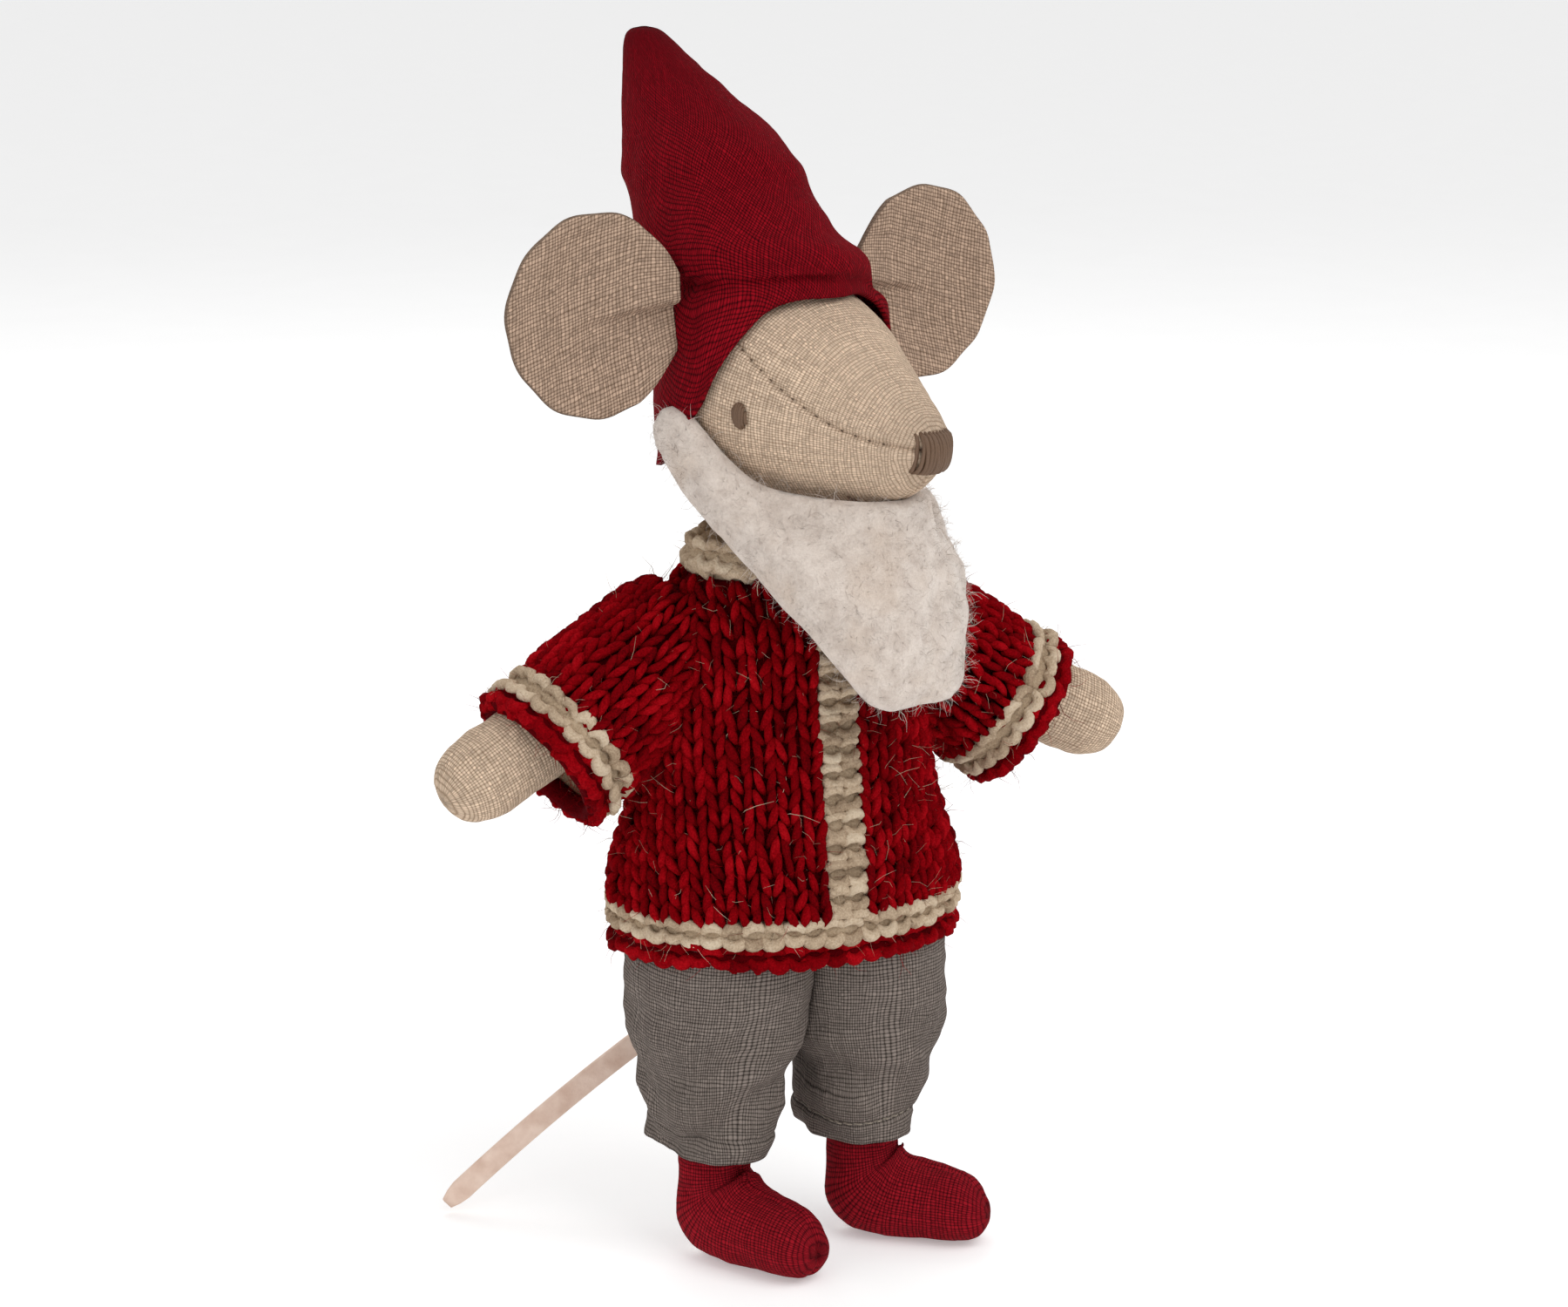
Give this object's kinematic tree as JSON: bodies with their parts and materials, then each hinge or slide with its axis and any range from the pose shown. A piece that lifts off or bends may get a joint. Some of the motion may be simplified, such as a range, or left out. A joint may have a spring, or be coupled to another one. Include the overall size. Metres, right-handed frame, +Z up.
{
  "type": "dressed mouse doll",
  "caption": "Standing stuffed linen mouse doll in a tall red cap, fleece beard, knitted cardigan, trousers and boots, with hinged head, ears, arms, legs and tail.",
  "frame": {"origin": "on the floor under the middle of the whole doll", "axes": "+Z up, the doll faces -Y and its left hand is towards +X"},
  "size_m": [0.1024, 0.0584, 0.1736],
  "materials": {
    "body_linen": "unbleached linen, plain weave",
    "face_linen": "unbleached linen, plain weave",
    "ear_linen": "unbleached linen, plain weave",
    "cap_linen": "red linen, plain weave on the bias",
    "boot_linen": "red linen, plain weave",
    "trouser_linen": "grey-brown linen, plain weave",
    "red_wool": "knitted wool with a light mohair halo",
    "beige_wool": "knitted wool with a light mohair halo",
    "beard_fleece": "thick soft fleece",
    "brown_thread": "satin-stitched embroidery thread",
    "tail_leather": "undyed vegetable-tanned leather, raw edges",
    "stuffing": "loose polyester wadding",
    "elastic": "narrow braided elastic"
  },
  "bodies": {
    "torso": {"torso_skin": "body_linen", "torso_stuffing": "stuffing", "cardigan_back": "red_wool", "cardigan_front_right": "red_wool", "cardigan_front_left": "red_wool", "cardigan_front_band": "beige_wool", "cardigan_neck_band": "beige_wool", "cardigan_hem_band": "beige_wool", "cardigan_hem_roll": "red_wool", "trouser_seat_right": "trouser_linen", "trouser_seat_left": "trouser_linen", "waist_elastic": "elastic"},
    "head": {"head_side_right": "face_linen", "head_side_left": "face_linen", "head_gusset": "face_linen", "head_stuffing": "stuffing", "eye_right": "brown_thread", "eye_left": "brown_thread", "nose": "brown_thread", "mouth_stitch": "brown_thread", "cap": "cap_linen", "cap_wadding": "stuffing", "beard": "beard_fleece"},
    "tail": {"tail": "tail_leather"},
    "ear_right": {"ear_front_right": "ear_linen", "ear_back_right": "ear_linen"},
    "arm_right": {"arm_skin_right": "body_linen", "arm_stuffing_right": "stuffing", "sleeve_right": "red_wool", "cuff_band_right": "beige_wool", "cuff_roll_right": "red_wool"},
    "leg_right": {"leg_skin_right": "body_linen", "leg_stuffing_right": "stuffing", "boot_skin_right": "boot_linen", "boot_stuffing_right": "stuffing", "trouser_leg_right": "trouser_linen"},
    "ear_left": {"ear_front_left": "ear_linen", "ear_back_left": "ear_linen"},
    "arm_left": {"arm_skin_left": "body_linen", "arm_stuffing_left": "stuffing", "sleeve_left": "red_wool", "cuff_band_left": "beige_wool", "cuff_roll_left": "red_wool"},
    "leg_left": {"leg_skin_left": "body_linen", "leg_stuffing_left": "stuffing", "boot_skin_left": "boot_linen", "boot_stuffing_left": "stuffing", "trouser_leg_left": "trouser_linen"}
  },
  "joints": [
    {"name": "neck_turn", "type": "hinge", "parent": "torso", "child": "head", "pos_m": [0, 0.00065, 0.1089], "axis": [0, 0, 1], "range_deg": [-45, 10]},
    {"name": "ear_flop_right", "type": "hinge", "parent": "head", "child": "ear_right", "pos_m": [-0.01791, -0.00213, 0.1369], "axis": [0, 0, 1], "range_deg": [-25, 25], "stiffness_Nm_per_rad": 0.002},
    {"name": "ear_flop_left", "type": "hinge", "parent": "head", "child": "ear_left", "pos_m": [0.01397, 0.00884, 0.1369], "axis": [0, 0, 1], "range_deg": [-25, 25], "stiffness_Nm_per_rad": 0.002},
    {"name": "shoulder_right", "type": "hinge", "parent": "torso", "child": "arm_right", "pos_m": [-0.016, 0.00315, 0.09], "axis": [0, 1, 0], "range_deg": [0, 60]},
    {"name": "shoulder_left", "type": "hinge", "parent": "torso", "child": "arm_left", "pos_m": [0.016, 0.00315, 0.09], "axis": [0, -1, 0], "range_deg": [0, 60]},
    {"name": "hip_right", "type": "hinge", "parent": "torso", "child": "leg_right", "pos_m": [-0.0116, 0.00065, 0.0338], "axis": [-1, 0, 0], "range_deg": [-20, 90]},
    {"name": "hip_left", "type": "hinge", "parent": "torso", "child": "leg_left", "pos_m": [0.0116, 0.00065, 0.0338], "axis": [-1, 0, 0], "range_deg": [-20, 90]},
    {"name": "tail_swing", "type": "hinge", "parent": "torso", "child": "tail", "pos_m": [0, 0.01655, 0.037], "axis": [0, 0, 1], "range_deg": [-80, 8]}
  ]
}
